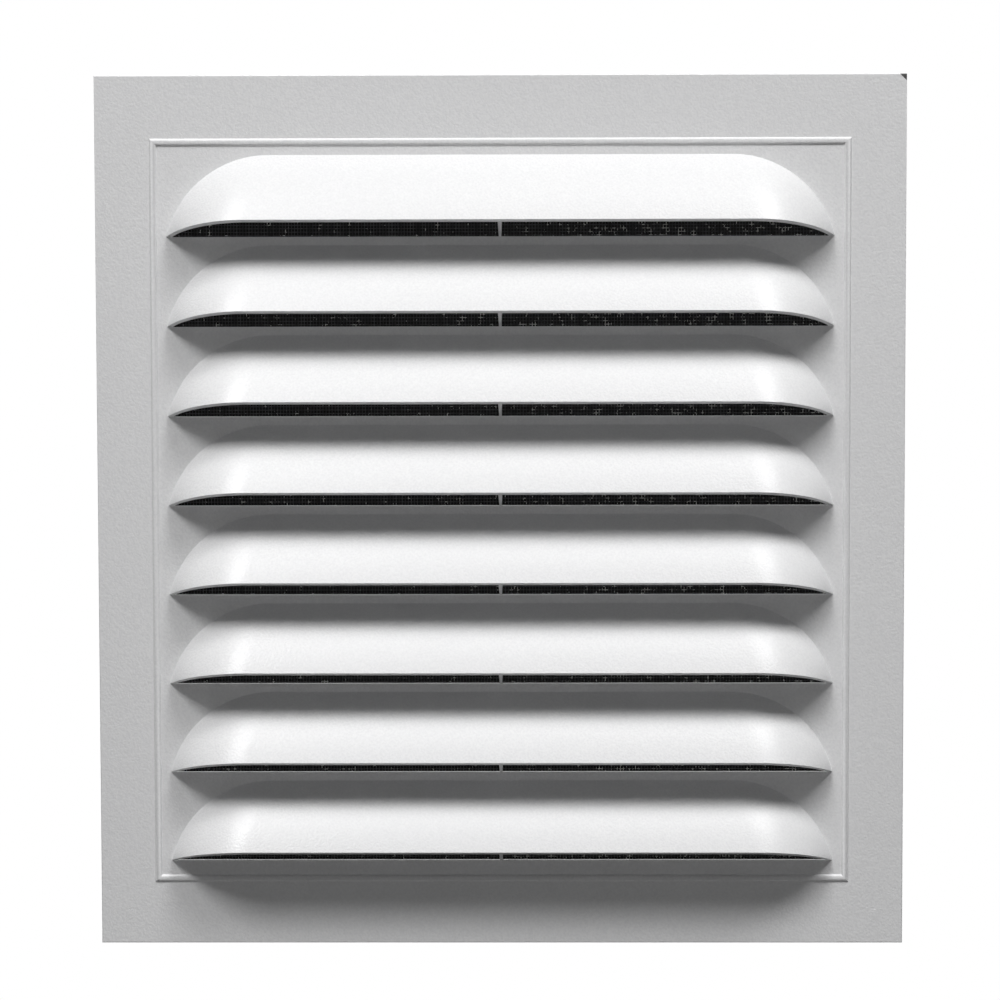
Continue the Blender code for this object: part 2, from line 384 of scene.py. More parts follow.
def blank_material(name: str) -> tuple[bpy.types.Material, bpy.types.NodeTree]:
    """Adds a material with an empty node tree.

    Args:
        name: The material's name.

    Returns:
        The material and its node tree.
    """
    material = bpy.data.materials.new(name)
    material.use_nodes = True
    material.node_tree.nodes.clear()
    return material, material.node_tree


@dataclass(frozen=True)
class MouldedPolypropylene:
    """Injection-moulded white polypropylene with a fine spark-eroded grain.

    The grain breaks up the sheen into a soft matte one, with its pits painted a
    little darker as painted shade, and the melt's flow leaves a very slight
    unevenness in the white.
    """

    white: str = "F9F9F9"
    cooler_white: str = "F5F5F6"
    # Painted shade in the grain's pits.
    painted_pit_shade: str = "F0F0F1"
    scuff: str = "4A4A49"
    roughness: float = 0.32
    ior: float = 1.49
    sheen: float = 0.42
    # The real grain is about 0.1 mm across, too fine to show, so it is drawn coarser.
    grain_size: float = 0.0010
    grain_detail: float = 1.0
    grain_depth: float = 0.00021
    grain_strength: float = 0.6
    pit_shade_from: float = 0.7
    pit_shade_to: float = 0.3
    flow_size: float = 0.09
    flow_detail: float = 2.0
    scuff_reach: float = 0.0033

    def build(self, corner_x: float, corner_z: float) -> bpy.types.Material:
        """Builds the material, with a small scuff in the flange's top right corner.

        Args:
            corner_x: The corner's place along x.
            corner_z: The corner's place along z.

        Returns:
            The material.
        """
        material, tree = blank_material("moulded_polypropylene")
        place = add_node(tree, "ShaderNodeTexCoord").outputs["Object"]
        flow = add_node(tree, "ShaderNodeTexNoise", None, {
            "Vector": place,
            "Scale": 1 / self.flow_size,
            "Detail": self.flow_detail,
        })
        shade = add_node(tree, "ShaderNodeMix", {"data_type": "RGBA"}, {
            "Factor": flow.outputs["Fac"],
            "A": linear(self.white),
            "B": linear(self.cooler_white),
        })
        grain = add_node(tree, "ShaderNodeTexNoise", None, {
            "Vector": place,
            "Scale": 1 / self.grain_size,
            "Detail": self.grain_detail,
        })
        # Painted shade: where the grain is low, in its pits, the white is painted darker.
        pit_shade_mask = add_node(tree, "ShaderNodeMapRange", None, {
            "Value": grain.outputs["Fac"],
            "From Min": self.pit_shade_from,
            "From Max": self.pit_shade_to,
        })
        pit_shaded = add_node(tree, "ShaderNodeMix", {"data_type": "RGBA"}, {
            "Factor": pit_shade_mask.outputs["Result"],
            "A": shade.outputs["Result"],
            "B": linear(self.painted_pit_shade),
        })
        worn = add_node(tree, "ShaderNodeMix", {"data_type": "RGBA"}, {
            "Factor": self.scuff_mask(tree, place, corner_x + corner_z),
            "A": pit_shaded.outputs["Result"],
            "B": linear(self.scuff),
        })
        bump = add_node(tree, "ShaderNodeBump", None, {
            "Height": grain.outputs["Fac"],
            "Strength": self.grain_strength,
            "Distance": self.grain_depth,
        })
        shader = add_node(tree, "ShaderNodeBsdfPrincipled", None, {
            "Base Color": worn.outputs["Result"],
            "Roughness": self.roughness,
            "IOR": self.ior,
            "Specular IOR Level": self.sheen,
            "Normal": bump.outputs["Normal"],
        })
        add_node(tree, "ShaderNodeOutputMaterial", None, {"Surface": shader.outputs[0]})
        return material

    def scuff_mask(
        self,
        tree: bpy.types.NodeTree,
        place: bpy.types.NodeSocket,
        corner: float,
    ) -> bpy.types.NodeSocket:
        """Marks out the rubbed corner.

        Args:
            tree: The material's node tree.
            place: The object coordinates.
            corner: The sum of x and z at the corner.

        Returns:
            A socket that gives 1 on the rubbed corner and 0 elsewhere.
        """
        axes = add_node(tree, "ShaderNodeSeparateXYZ", None, {"Vector": place})
        along = add_node(tree, "ShaderNodeMath", {"operation": "ADD"}, {
            0: axes.outputs["X"],
            1: axes.outputs["Z"],
        })
        beyond = add_node(tree, "ShaderNodeMath", {"operation": "GREATER_THAN"}, {
            0: along.outputs[0],
            1: corner - self.scuff_reach,
        })
        return beyond.outputs[0]


@dataclass(frozen=True)
class CoatedGlassFibre:
    """Glass-fibre yarn with a charcoal vinyl coat, woven and heat-set.

    The coat is smooth, with a dull sheen, and holds pale dust here and there.
    """

    charcoal: str = "1A1B1D"
    worn_charcoal: str = "505153"
    dust: str = "D8D8D4"
    roughness: float = 0.55
    sheen: float = 0.15
    dust_size: float = 0.0034
    dust_detail: float = 3.0
    dust_raggedness: float = 0.65
    clean_below: float = 0.62
    dusty_above: float = 0.66
    dustier_from: float = -0.04
    dustier_to: float = 0.05
    extra_dust: float = 0.06
    streak_width: float = 0.0024
    streak_length: float = 0.04
    streak_detail: float = 1.0
    streaks_from: float = 0.3
    streaks_to: float = 0.7

    def build(self) -> bpy.types.Material:
        """Builds the material, uneven from yarn to yarn and dustier at the right.

        Returns:
            The material.
        """
        material, tree = blank_material("coated_glass_fibre")
        place = add_node(tree, "ShaderNodeTexCoord").outputs["Object"]
        specks = add_node(tree, "ShaderNodeTexNoise", None, {
            "Vector": place,
            "Scale": 1 / self.dust_size,
            "Detail": self.dust_detail,
            "Roughness": self.dust_raggedness,
        })
        across = add_node(tree, "ShaderNodeVectorMath", {"operation": "MULTIPLY"}, {
            0: place,
            1: (1 / self.streak_width, 0, 1 / self.streak_length),
        })
        streaks = add_node(tree, "ShaderNodeTexNoise", None, {
            "Vector": across.outputs[0],
            "Scale": 1.0,
            "Detail": self.streak_detail,
        })
        unevenness = add_node(tree, "ShaderNodeMapRange", None, {
            "Value": streaks.outputs["Fac"],
            "From Min": self.streaks_from,
            "From Max": self.streaks_to,
        })
        coat = add_node(tree, "ShaderNodeMix", {"data_type": "RGBA"}, {
            "Factor": unevenness.outputs["Result"],
            "A": linear(self.charcoal),
            "B": linear(self.worn_charcoal),
        })
        axes = add_node(tree, "ShaderNodeSeparateXYZ", None, {"Vector": place})
        rightward = add_node(tree, "ShaderNodeMapRange", None, {
            "Value": axes.outputs["X"],
            "From Min": self.dustier_from,
            "From Max": self.dustier_to,
            "To Min": 0.0,
            "To Max": self.extra_dust,
        })
        raised = add_node(tree, "ShaderNodeMath", {"operation": "ADD"}, {
            0: specks.outputs["Fac"],
            1: rightward.outputs["Result"],
        })
        dusty = add_node(tree, "ShaderNodeMapRange", None, {
            "Value": raised.outputs[0],
            "From Min": self.clean_below,
            "From Max": self.dusty_above,
        })
        colour = add_node(tree, "ShaderNodeMix", {"data_type": "RGBA"}, {
            "Factor": dusty.outputs["Result"],
            "A": coat.outputs["Result"],
            "B": linear(self.dust),
        })
        shader = add_node(tree, "ShaderNodeBsdfPrincipled", None, {
            "Base Color": colour.outputs["Result"],
            "Roughness": self.roughness,
            "Specular IOR Level": self.sheen,
        })
        add_node(tree, "ShaderNodeOutputMaterial", None, {"Surface": shader.outputs[0]})
        return material


def seen_directly(tree: bpy.types.NodeTree) -> bpy.types.NodeSocket:
    """Picks out the rays that show the backdrop to the eye.

    Args:
        tree: The node tree of the material or world.

    Returns:
        A socket that gives 1 for rays from the camera, in a reflection or through
        glass, and 0 for the rest.
    """
    path = add_node(tree, "ShaderNodeLightPath")
    seen = add_node(tree, "ShaderNodeMath", {"operation": "MAXIMUM"}, {
        0: path.outputs["Is Camera Ray"],
        1: path.outputs["Is Glossy Ray"],
    })
    seen_at_all = add_node(tree, "ShaderNodeMath", {"operation": "MAXIMUM"}, {
        0: seen.outputs[0],
        1: path.outputs["Is Transmission Ray"],
    })
    return seen_at_all.outputs[0]


@dataclass(frozen=True)
class StudioBoard:
    """Uncoated matt board for the floor, which runs out into the white backdrop.

    It looks pale, and throws little light back up at the vent.
    """

    pale: str = "E4E4E3"
    bounce: str = "4A4A4A"
    roughness: float = 0.9
    lift: float = 0.55
    fade_from: float = 0.7
    fade_to: float = 1.5

    def build(self) -> bpy.types.Material:
        """Builds the board's material.

        Returns:
            The material.
        """
        material, tree = blank_material("pale_floor_board")
        place = add_node(tree, "ShaderNodeTexCoord").outputs["Object"]
        flat_place = add_node(tree, "ShaderNodeVectorMath", {"operation": "MULTIPLY"}, {
            0: place,
            1: (1, 1, 0),
        })
        away = add_node(tree, "ShaderNodeVectorMath", {"operation": "LENGTH"}, {
            0: flat_place.outputs["Vector"],
        })
        fade = add_node(tree, "ShaderNodeMapRange", {"interpolation_type": "SMOOTHSTEP"}, {
            "Value": away.outputs["Value"],
            "From Min": self.fade_from,
            "From Max": self.fade_to,
        })
        pale = add_node(tree, "ShaderNodeBsdfPrincipled", None, {
            "Base Color": linear(self.pale),
            "Roughness": self.roughness,
        })
        lift = add_node(tree, "ShaderNodeEmission", None, {"Strength": self.lift})
        near = add_node(tree, "ShaderNodeAddShader", None, {
            0: pale.outputs[0],
            1: lift.outputs[0],
        })
        far = add_node(tree, "ShaderNodeEmission", None, {"Strength": 1.0})
        seen = add_node(tree, "ShaderNodeMixShader", None, {
            0: fade.outputs["Result"],
            1: near.outputs[0],
            2: far.outputs[0],
        })
        bounce = add_node(tree, "ShaderNodeBsdfPrincipled", None, {
            "Base Color": linear(self.bounce),
            "Roughness": self.roughness,
        })
        mixed = add_node(tree, "ShaderNodeMixShader", None, {
            0: seen_directly(tree),
            1: bounce.outputs[0],
            2: seen.outputs[0],
        })
        add_node(tree, "ShaderNodeOutputMaterial", None, {"Surface": mixed.outputs[0]})
        return material


@dataclass
class HoodBank:
    """The bank of curved hoods, with the slot and the web behind each one."""

    front: float
    projection: float
    count: int = 8
    pitch: float = 0.04157
    top_slot: float = 0.1279
    half_width: float = 0.1545
    rise: float = 0.0375
    shoulder_radius: float = 0.0487
    nose_radius: float = 0.0430
    lip_lift: float = 0.0073
    crown: float = 0.0016
    wall: float = 0.0025
    edge_radius: float = 0.00035
    edge_angle: float = math.radians(50)
    edge_segments: int = 2
    slot_inset: float = 0.0005
    web_at_lip: float = 0.0022
    web_at_panel: float = 0.0011
    # The skin starts on an arch inside the panel, so that it is whole at the front.
    root_depth: float = 0.0020
    root_rise: float = 0.040245
    root_radius: float = 0.04982
    root_centre: float = 0.106521
    root_turn: float = math.radians(77.4)
    # The lip's arc turns this much further, so that its end is buried in the panel.
    buried: float = 1.023
    overlap: float = 0.0005
    arc_steps: int = 44
    rows: int = 9
    # Where the web's upper edge bends to follow the crown, from the lip inwards.
    web_shares: tuple[float, ...] = (0.75, 0.5, 0.25)

    @property
    def slots(self) -> list[float]:
        """The height of each slot's lower edge, from the top down."""
        return [self.top_slot - self.pitch * index for index in range(self.count)]

    @property
    def shoulder_centre(self) -> float:
        """How far the centre of the shoulder arc is from the middle."""
        drop = self.rise - self.shoulder_radius
        return self.half_width - math.sqrt(self.shoulder_radius ** 2 - drop ** 2)

    @property
    def nose_centre(self) -> float:
        """How far the centre of the lip's end arc is from the middle."""
        behind = self.projection - self.nose_radius
        return self.half_width - math.sqrt(self.nose_radius ** 2 - behind ** 2)

    def draw_root(self) -> None:
        """Draws the rail that the hood's skin starts from, inside the panel."""
        y = self.front + self.root_depth
        Wire.start((0, y, self.root_rise))
        Wire.line((self.root_centre, 0, 0))
        centre = (self.root_centre, y, self.root_rise - self.root_radius)
        Wire.arc(centre, (0, 1, 0), self.root_turn, self.arc_steps)

    def draw_lip(self, hood: bpy.types.Object) -> None:
        """Draws the rail of the lip on its sloping plane.

        Args:
            hood: The object in edit mode.
        """
        tilt = math.asin(self.lip_lift / self.projection)
        y = self.front - self.projection * math.cos(tilt)
        Wire.start((0, y, self.lip_lift))
        Wire.line((self.nose_centre, 0, 0))
        behind = self.nose_radius - self.projection
        centre = (
            self.nose_centre,
            self.front + behind * math.cos(tilt),
            -behind * math.sin(tilt),
        )
        turn = math.acos(1 - self.projection / self.nose_radius) * self.buried
        axis = (0, math.sin(tilt), math.cos(tilt))
        Wire.arc(centre, axis, turn, self.arc_steps)
        # The slope shortens the lip's reach, so it is stretched back to the full one.
        select(hood, Pick.POINTS, lambda at: at.y < self.front + self.root_depth / 2)
        bpy.ops.transform.resize(
            value=(1, 1 / math.cos(tilt), 1),
            center_override=(0, self.front, 0),
        )

    def round_over(self, hood: bpy.types.Object) -> None:
        """Crowns the skin between the panel and the lip, less where it is narrow.

        No operator crowns a ruled strip by the length of each of its rungs, so
        the rungs are followed here and their points moved square to the skin.

        Args:
            hood: The object in edit mode.
        """
        full_length = math.hypot(self.projection, self.rise - self.lip_lift)
        shape = bmesh.from_edit_mesh(hood.data)
        shape.normal_update()
        root_y = self.front + self.root_depth
        rail = {point for point in shape.verts if abs(point.co.y - root_y) < WELD}
        moves = []
        for root in rail:
            rung = [edge for edge in root.link_edges if edge.other_vert(root) not in rail]
            points = [rung[0].other_vert(root)]
            while len(rung) == 1:
                faces = set(rung[0].link_faces)
                rung = [edge for edge in points[-1].link_edges
                        if not faces & set(edge.link_faces)]
                points += [edge.other_vert(points[-1]) for edge in rung]
            lip = points[-1].co
            outside = max(self.front - lip.y, WELD)
            length = (lip - root.co).length * outside / (root_y - lip.y)
            height = self.crown * length / full_length
            for point in points:
                share = max(self.front - point.co.y, 0) / outside
                square = point.normal if point.normal.y < 0 else -point.normal
                moves.append((point, square * (4 * height * share * (1 - share))))
        for point, move in moves:
            point.co += move
        bmesh.update_edit_mesh(hood.data)

    def hoods(self) -> bpy.types.Object:
        """Shapes a hood as a curved wall that runs into the panel, and repeats it.

        Returns:
            All the hoods as one object.
        """
        hood = Wire.blank("hoods")
        with editing(hood):
            self.draw_root()
            self.draw_lip(hood)
            bpy.ops.mesh.select_mode(type=Pick.EDGES.value)
            bpy.ops.mesh.select_all(action="SELECT")
            bpy.ops.mesh.bridge_edge_loops(number_cuts=self.rows, interpolation="LINEAR")
            bpy.ops.mesh.select_all(action="SELECT")
            bpy.ops.mesh.normals_make_consistent(inside=False)
            self.round_over(hood)
        finish_with(hood, "MIRROR", merge_threshold=WELD, use_clip=True)
        outward(hood)
        # An open skin has no inside, so it is turned here to face the front.
        with editing(hood):
            shape = bmesh.from_edit_mesh(hood.data)
            facing = sum(face.normal.y * face.calc_area() for face in shape.faces)
            if facing > 0:
                bpy.ops.mesh.select_all(action="SELECT")
                bpy.ops.mesh.flip_normals()
        finish_with(
            hood,
            "SOLIDIFY",
            thickness=self.wall,
            offset=-1,
            use_even_offset=True,
        )
        finish_with(
            hood,
            "BEVEL",
            width=self.edge_radius,
            segments=self.edge_segments,
            limit_method="ANGLE",
            angle_limit=self.edge_angle,
        )
        return repeated(hood, [(0, 0, height) for height in self.slots])

    def slot_tools(self) -> bpy.types.Object:
        """Shapes the cutters of the slots, each just inside its hood's outline.

        Returns:
            All the cutters as one object.
        """
        tool = Wire.blank("slot_tools")
        radius = self.shoulder_radius - self.slot_inset
        turn = math.acos((self.shoulder_radius - self.rise) / radius)
        y = self.front - self.overlap
        with editing(tool):
            Wire.start((0, y, self.rise - self.slot_inset))
            Wire.line((self.shoulder_centre, 0, 0))
            centre = (self.shoulder_centre, y, self.rise - self.shoulder_radius)
            Wire.arc(centre, (0, 1, 0), turn, self.arc_steps)
            Wire.line((-self.shoulder_centre - radius * math.sin(turn), 0, 0))
        finish_with(tool, "MIRROR", merge_threshold=WELD, use_clip=True)
        with editing(tool):
            bpy.ops.mesh.select_all(action="SELECT")
            bpy.ops.mesh.edge_face_add()
            Wire.line((0, 2 * self.overlap - self.front, 0))
        outward(tool)
        return repeated(tool, [(0, 0, height) for height in self.slots])

    def webs(self) -> bpy.types.Object:
        """Shapes the drafted web in the middle of each hood.

        Returns:
            All the webs as one object.
        """
        web = Wire.blank("webs")
        fall = (self.rise - self.lip_lift) / self.projection
        steep = math.hypot(1, fall)
        mid_wall = self.wall / 2 * steep
        toe = self.projection - self.wall
        toe_rise = self.rise - fall * toe - mid_wall
        crowned = []
        for share in self.web_shares:
            bulge = 4 * self.crown * share * (1 - share) * steep
            out = share * self.projection
            crowned.append((out, self.rise - fall * out - mid_wall + bulge))
        # Each corner is (out from the plate's front, up). This one is behind its back.
        behind = self.front - self.overlap
        outline = [
            (toe, toe_rise),
            *crowned,
            (0, self.rise - mid_wall),
            (behind, self.rise + self.overlap),
            (behind, -self.overlap),
            (-self.overlap, -self.overlap),
        ]
        x = -self.web_at_panel / 2
        with editing(web):
            out, up = outline[0]
            Wire.start((x, self.front - out, up))
            for next_out, next_up in outline[1:]:
                Wire.line((0, out - next_out, next_up - up))
                out, up = next_out, next_up
            bpy.ops.mesh.select_all(action="SELECT")
            bpy.ops.mesh.edge_face_add()
            Wire.line((self.web_at_panel, 0, 0))
            select(web, Pick.POINTS, lambda at: at.y < self.front - toe / 2)
            bpy.ops.transform.resize(
                value=(self.web_at_lip / self.web_at_panel, 1, 1),
                center_override=(0, 0, 0),
            )
        outward(web)
        return repeated(web, [(0, 0, height) for height in self.slots])


@dataclass
class Flange:
    """The flat plate with rounded front edges that covers the wall opening's rim."""

    low: Vector
    high: Vector
    front: float
    edge_radius: float = 0.0005
    edge_segments: int = 4
    mark_radius: float = 0.0023
    mark_rise: float = 0.00005
    mark_rounding: float = 0.9
    mark_segments: int = 3
    mark_sides: int = 40
    mark_edge_distance: float = 0.0135
    overlap: float = 0.0005

    def plate(self) -> bpy.types.Object:
        """Shapes the plate and rounds its front edges.

        Returns:
            The plate.
        """
        plate = block(
            "vent_moulding",
            (self.low.x, self.front, self.low.z),
            (self.high.x, 0, self.high.z),
        )
        with editing(plate):
            select(plate, Pick.EDGES, lambda at: at.y < self.front / 2 and self.on_rim(at))
            round_edges(self.edge_radius, self.edge_segments)
        return plate

    def on_rim(self, at: Vector) -> bool:
        """Tells whether a point of the plate's front is on its outer edge."""
        on_side = abs(abs(at.x) - self.high.x) < WELD
        return on_side or abs(abs(at.z) - self.high.z) < WELD

    def marks(self) -> bpy.types.Object:
        """Shapes the faint round marks at the middle and foot of each side.

        Returns:
            The marks as one object.
        """
        bpy.ops.object.select_all(action="DESELECT")
        bpy.ops.mesh.primitive_cylinder_add(
            vertices=self.mark_sides,
            radius=self.mark_radius,
            depth=self.overlap + self.mark_rise,
            location=(0, self.front + (self.overlap - self.mark_rise) / 2, 0),
            rotation=(math.pi / 2, 0, 0),
        )
        mark = settled("marks")
        with editing(mark):
            select(mark, Pick.EDGES, lambda at: at.y < self.front)
            round_edges(self.mark_rise * self.mark_rounding, self.mark_segments)
        x = self.high.x - self.mark_edge_distance
        foot = self.low.z + self.mark_edge_distance
        places = [(side * x, 0, z) for side in (-1, 1) for z in (0, foot)]
        return repeated(mark, places)

    def trim(self, reach: float) -> bpy.types.Object:
        """Returns the block, that deep, that cuts the hoods flush with the plate's back."""
        return block(
            "trim",
            (2 * self.low.x, 0, 2 * self.low.z),
            (2 * self.high.x, reach, 2 * self.high.z),
        )


@dataclass
class Bead:
    """The low half-round bead that frames the louvres, mitred at its corners."""

    front: float
    half_width: float = 0.1605
    half_height: float = 0.1715
    base: float = 0.0034
    rise: float = 0.0010
    steps: int = 5
    overlap: float = 0.0005

    def build(self) -> bpy.types.Object:
        """Shapes the bead as a closed ring sunk a little into the plate.

        Returns:
            The bead.
        """
        half = self.base / 2
        bead = panel("bead", self.half_width + half, self.half_height + half, self.front)
        with editing(bead):
            bpy.ops.mesh.select_all(action="SELECT")
            for _ in range(2 * self.steps):
                bpy.ops.mesh.inset(thickness=half / self.steps)
            bpy.ops.mesh.delete(type="FACE")
            for step in range(self.steps):
                off = half * step / self.steps
                select(bead, Pick.POINTS, lambda at: self.is_off(at, off))
                bpy.ops.transform.translate(value=(0, -self.height(off), 0))
            select(bead, Pick.EDGES, lambda at: self.is_off(at, half))
            Wire.line((0, self.overlap, 0))
            bpy.ops.mesh.bridge_edge_loops()
        outward(bead)
        return bead

    def is_off(self, at: Vector, off: float) -> bool:
        """Tells whether a point is that far to either side of the bead's middle line."""
        side = max(abs(at.x) - self.half_width, abs(at.z) - self.half_height)
        return abs(abs(side) - off) < WELD

    def height(self, off: float) -> float:
        """Works out how high the bead's round back stands over the plate.

        Args:
            off: The distance from the bead's middle line.

        Returns:
            The height.
        """
        half = self.base / 2
        radius = (half ** 2 + self.rise ** 2) / (2 * self.rise)
        return math.sqrt(radius ** 2 - off ** 2) - (radius - self.rise)


@dataclass
class Collar:
    """The thin-walled box on the flange's back that enters the wall opening."""

    depth: float
    inside_half_width: float = 0.1595
    inside_half_height: float = 0.1705
    wall: float = 0.0020
    tip_wall: float = 0.0014
    edge_radius: float = 0.0003
    edge_segments: int = 3
    overlap: float = 0.0005

    def build(self) -> bpy.types.Object:
        """Shapes the collar, drafted to a thinner, rounded end.

        Returns:
            The collar.
        """
        half_width = self.inside_half_width + self.wall
        half_height = self.inside_half_height + self.wall
        thinning = (self.wall - self.tip_wall) / 2
        collar = panel("collar", half_width, half_height, -self.overlap)
        middle = self.inside_half_width + self.wall / 2
        middle_up = self.inside_half_height + self.wall / 2
        with editing(collar):
            bpy.ops.mesh.select_all(action="SELECT")
            bpy.ops.mesh.inset(thickness=self.wall)
            bpy.ops.mesh.delete(type="FACE")
            bpy.ops.mesh.select_all(action="SELECT")
            Wire.line((0, self.depth + self.overlap, 0))
            for sign, half_x, half_z in (
                (1, half_width, half_height),
                (-1, self.inside_half_width, self.inside_half_height),
            ):
                select(
                    collar,
                    Pick.POINTS,
                    lambda at: at.y > 0
                    and sign * max(abs(at.x) - middle, abs(at.z) - middle_up) > 0,
                )
                bpy.ops.transform.resize(
                    value=(1 - sign * thinning / half_x, 1, 1 - sign * thinning / half_z),
                    center_override=(0, 0, 0),
                )
            select(
                collar,
                Pick.EDGES,
                lambda at: at.y > self.depth - WELD
                and abs(max(abs(at.x) - middle, abs(at.z) - middle_up)) > self.wall / 4,
            )
            round_edges(self.edge_radius, self.edge_segments)
        outward(collar)
        return collar


@dataclass
class Stakes:
    """The pins on the plate's back whose heads were formed over the screen."""

    slots: list[float]
    rise: float
    head_seat: float
    radius: float = 0.0013
    sides: int = 24
    head_radius: float = 0.0026
    head_height: float = 0.0010
    head_rounding: float = 0.85
    head_segments: int = 5
    side_offset: float = 0.1500
    side_rise: float = 0.0310
    side_every: int = 2
    end_spread: float = 0.1000
    above_top: float = 0.0022
    below_bottom: float = 0.0038
    overlap: float = 0.0005

    @property
    def places(self) -> list[tuple[float, float]]:
        """Where the stakes stand.

        Returns:
            The places as (x, z).
        """
        spots = []
        for height in self.slots[::self.side_every]:
            spots += [(side * self.side_offset, height + self.side_rise) for side in (-1, 1)]
        top = self.slots[0] + self.rise + self.above_top
        bottom = self.slots[-1] - self.below_bottom
        for step in (-1, 0, 1):
            spots += [(step * self.end_spread, top), (step * self.end_spread, bottom)]
        return spots

    def build(self) -> bpy.types.Object:
        """Shapes a stake as a pin with a low domed head, and repeats it.

        Returns:
            All the stakes as one object.
        """
        bpy.ops.object.select_all(action="DESELECT")
        bpy.ops.mesh.primitive_cylinder_add(
            vertices=self.sides,
            radius=self.radius,
            depth=self.head_seat + self.overlap,
            location=(0, (self.head_seat - self.overlap) / 2, 0),
            rotation=(-math.pi / 2, 0, 0),
        )
        stake = settled("stakes")
        with editing(stake):
            select(stake, Pick.FACES, lambda at: at.y > self.head_seat - WELD)
            bpy.ops.mesh.extrude_region_move()
            grown = self.head_radius / self.radius
            centre = (0, self.head_seat, 0)
            bpy.ops.transform.resize(value=(grown, 1, grown), center_override=centre)
            Wire.line((0, self.head_height, 0))
            crown_y = self.head_seat + self.head_height
            select(stake, Pick.EDGES, lambda at: at.y > crown_y - WELD)
            round_edges(self.head_height * self.head_rounding, self.head_segments)
        return repeated(stake, [(x, 0, z) for x, z in self.places])


@dataclass
class VentMoulding:
    """The whole one-piece moulding, put together as the mould forms it."""

    low: Vector
    high: Vector
    screen_back: float
    thickness: float = 0.0025
    screen_gap: float = 0.0003
    smooth_up_to: float = math.radians(32)
    flange: Flange = field(init=False)
    hoods: HoodBank = field(init=False)
    bead: Bead = field(init=False)
    collar: Collar = field(init=False)
    stakes: Stakes = field(init=False)

    def __post_init__(self) -> None:
        """Works out the sub-assemblies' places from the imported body's box."""
        front = -self.thickness
        self.flange = Flange(self.low, self.high, front)
        self.hoods = HoodBank(front, front - self.low.y)
        self.bead = Bead(front)
        self.collar = Collar(self.high.y)
        head_seat = self.screen_back + self.screen_gap
        self.stakes = Stakes(self.hoods.slots, self.hoods.rise, head_seat)

    def build(self) -> bpy.types.Object:
        """Puts the moulding together as one closed mesh.

        Returns:
            The moulding.
        """
        body = self.flange.plate()
        combine(body, self.hoods.slot_tools(), Join.CUT)
        hoods = self.hoods.hoods()
        combine(hoods, self.hoods.webs(), Join.ADD)
        combine(hoods, self.flange.trim(2 * self.hoods.wall), Join.CUT)
        combine(body, hoods, Join.ADD)
        without_slivers(body)
        only(
            self.bead.build(),
            self.collar.build(),
            self.stakes.build(),
            self.flange.marks(),
        )
        bpy.ops.object.join()
        combine(body, bpy.context.object, Join.ADD)
        without_slivers(body)
        only(body)
        bpy.ops.object.shade_smooth_by_angle(angle=self.smooth_up_to)
        finish_with(body, "WEIGHTED_NORMAL", keep_sharp=True)
        return body

    def dress(self, body: bpy.types.Object) -> None:
        """Gives the moulding its finish and its place in the frame.

        Args:
            body: The finished moulding.
        """
        body.data.materials.clear()
        body.data.materials.append(MouldedPolypropylene().build(self.high.x, self.high.z))
        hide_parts("vent_body")
        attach(body, "root")


@dataclass
class InsectScreen:
    """The woven screen: upright yarns in front, crossing yarns behind them."""

    low: Vector
    high: Vector
    yarn_width: float = 0.00028
    upright_pitch: float = 0.00141
    crosser_pitch: float = 0.00159
    yarn_sides: int = 8
    smooth_up_to: float = math.radians(60)

    def yarn(self, name: str, start: Point, length: float, upright: bool) -> bpy.types.Object:
        """Adds one straight yarn.

        Args:
            name: The object's name.
            start: The middle of its first end.
            length: How long it is.
            upright: Whether it runs along z, and otherwise along x.

        Returns:
            The yarn.
        """
        along = Vector((0, 0, length / 2)) if upright else Vector((length / 2, 0, 0))
        bpy.ops.object.select_all(action="DESELECT")
        bpy.ops.mesh.primitive_cylinder_add(
            vertices=self.yarn_sides,
            radius=self.yarn_width / 2,
            depth=length,
            location=Vector(start) + along,
            rotation=(0, 0, 0) if upright else (0, math.pi / 2, 0),
        )
        return settled(name)

    def row(self, yarn: bpy.types.Object, span: float, pitch: float, step: Vector) -> None:
        """Repeats a yarn across the screen at an even pitch.

        Args:
            yarn: The first yarn.
            span: The distance from the first yarn to the last.
            pitch: The pitch aimed at.
            step: The direction of the row.
        """
        gaps = round(span / pitch)
        finish_with(
            yarn,
            "ARRAY",
            count=gaps + 1,
            use_relative_offset=False,
            use_constant_offset=True,
            constant_offset_displace=step * (span / gaps),
        )
        only(yarn)
        bpy.ops.object.shade_smooth_by_angle(angle=self.smooth_up_to)

    def build(self) -> list[bpy.types.Object]:
        """Lays the crossers behind the uprights.

        Returns:
            The uprights and the crossers.
        """
        radius = self.yarn_width / 2
        width = self.high.x - self.low.x
        height = self.high.z - self.low.z
        front_layer = self.low.y + radius
        back_layer = front_layer + self.yarn_width
        uprights = self.yarn(
            "screen_uprights",
            (self.low.x + radius, front_layer, self.low.z),
            height,
            upright=True,
        )
        self.row(uprights, width - self.yarn_width, self.upright_pitch, Vector((1, 0, 0)))
        crossers = self.yarn(
            "screen_crossers",
            (self.low.x, back_layer, self.low.z + radius),
            width,
            upright=False,
        )
        self.row(crossers, height - self.yarn_width, self.crosser_pitch, Vector((0, 0, 1)))
        return [uprights, crossers]

    def dress(self, layers: list[bpy.types.Object]) -> None:
        """Gives the yarns their finish and their place in the frame.

        Args:
            layers: The uprights and the crossers.
        """
        coat = CoatedGlassFibre().build()
        for layer in layers:
            layer.data.materials.clear()
            layer.data.materials.append(coat)
            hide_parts("insect_screen")
            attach(layer, "root")


